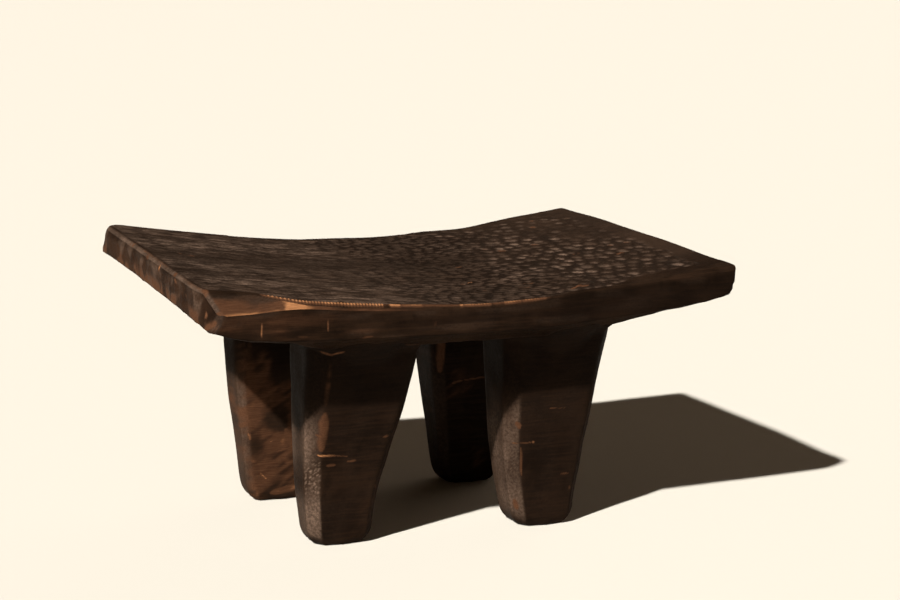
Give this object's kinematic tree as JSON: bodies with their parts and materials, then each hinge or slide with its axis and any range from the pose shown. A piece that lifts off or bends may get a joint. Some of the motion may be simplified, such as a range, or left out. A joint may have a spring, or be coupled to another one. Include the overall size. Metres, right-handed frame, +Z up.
{
  "type": "headrest",
  "caption": "Low carved wooden headrest stool: a dished slab seat with raised ends and a gouged top, on four tapered faceted legs.",
  "frame": {"origin": "on the ground under the middle of the seat, at the centre of the bounding box's base", "axes": "+X along the seat's length towards its right end, +Y from the front to the back, +Z up"},
  "size_m": [0.512, 0.31, 0.2557],
  "materials": {
    "dark_wood": "satin, smoke-blackened and hand-polished, rubbed through to red-brown on the edges"
  },
  "bodies": {
    "root": {"seat": "dark_wood", "leg_front_left": "dark_wood", "leg_front_right": "dark_wood", "leg_rear_left": "dark_wood", "leg_rear_right": "dark_wood"}
  },
  "joints": []
}
